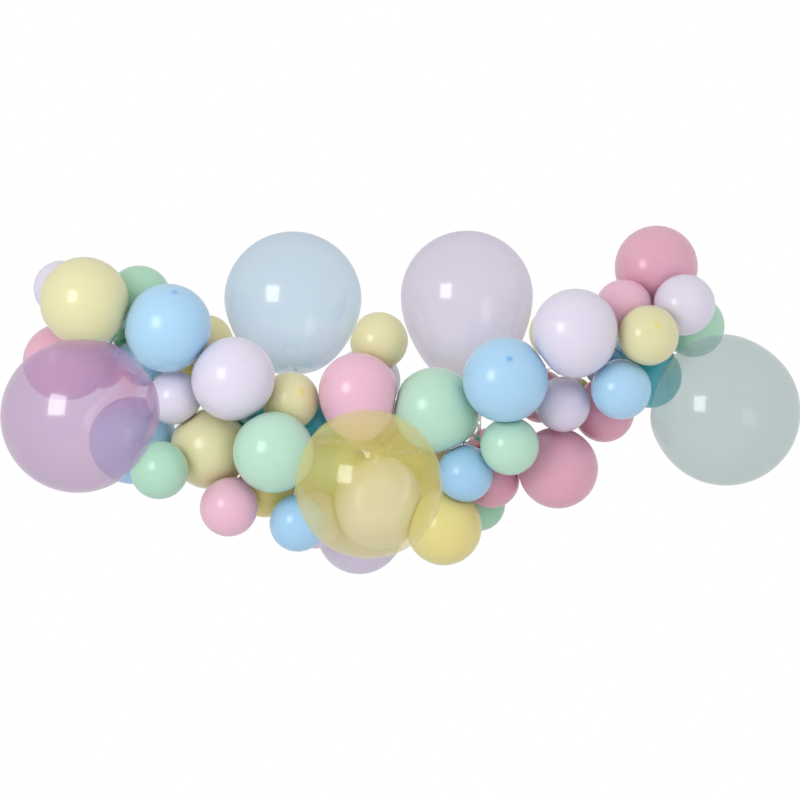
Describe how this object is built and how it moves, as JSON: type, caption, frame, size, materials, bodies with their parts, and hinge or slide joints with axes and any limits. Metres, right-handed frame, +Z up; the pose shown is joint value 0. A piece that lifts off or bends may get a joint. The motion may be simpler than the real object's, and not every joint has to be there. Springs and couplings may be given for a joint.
{
  "type": "balloon garland",
  "caption": "Hanging garland of pastel and clear latex balloons in mixed sizes, packed round a clear holed decorating strip.",
  "frame": {"origin": "on the flat back face of the strip's left hanging link, between its hole and its end", "axes": "+X along the garland to its right end, +Y backwards out of the strip's hanging links, +Z up"},
  "size_m": [2.0279, 0.7612, 0.93],
  "materials": {
    "yellow": "satin pastel latex",
    "blue": "satin pastel latex",
    "lilac": "satin pastel latex",
    "green": "satin pastel latex",
    "pink": "satin pastel latex",
    "teal": "satin latex, deeper",
    "clear_pink": "glossy clear latex",
    "clear_blue": "glossy clear latex",
    "clear_lilac": "glossy clear latex",
    "clear_yellow": "glossy clear latex",
    "clear_mint": "glossy clear latex",
    "clear_plastic": "glossy clear strip"
  },
  "bodies": {
    "root": {"decorating_strip": "clear_plastic", "clear_pink": "clear_pink", "clear_blue": "clear_blue", "clear_lilac": "clear_lilac", "clear_yellow": "clear_yellow", "clear_mint": "clear_mint", "lilac_top_left": "lilac", "yellow_top_left": "yellow", "green_top_left": "green", "blue_top_left": "blue", "yellow_tucked_left": "yellow", "pink_far_left": "pink", "lilac_mid_left": "lilac", "lilac_small_left": "lilac", "yellow_small_left": "yellow", "green_small_left": "green", "blue_low_left": "blue", "yellow_low_left": "yellow", "pink_low_left": "pink", "green_mid_left": "green", "blue_low_mid": "blue", "yellow_deep_left": "yellow", "teal_deep_left": "teal", "pink_mid": "pink", "yellow_top_mid": "yellow", "lilac_deep_mid": "lilac", "green_mid": "green", "blue_mid": "blue", "lilac_big_right": "lilac", "lilac_small_right": "lilac", "green_small_mid": "green", "blue_small_mid": "blue", "pink_low_right": "pink", "pink_deep_right": "pink", "green_low_right": "green", "yellow_low_right": "yellow", "lilac_core_mid": "lilac", "lilac_low_mid": "lilac", "lilac_low_deep": "lilac", "pink_top_right": "pink", "pink_small_right": "pink", "lilac_top_right": "lilac", "yellow_small_right": "yellow", "green_far_right": "green", "blue_small_right": "blue", "teal_deep_right": "teal", "pink_lower_right": "pink", "yellow_deep_right": "yellow", "yellow_top_right": "yellow", "pink_core_right": "pink", "green_core_left": "green", "green_tucked_left": "green", "blue_tucked_left": "blue", "teal_back_mid_left": "teal", "pink_deep_mid": "pink", "pink_back_mid": "pink", "blue_back_right": "blue", "pink_back_far_left": "pink", "yellow_back_left": "yellow", "yellow_back_mid": "yellow"}
  },
  "joints": []
}
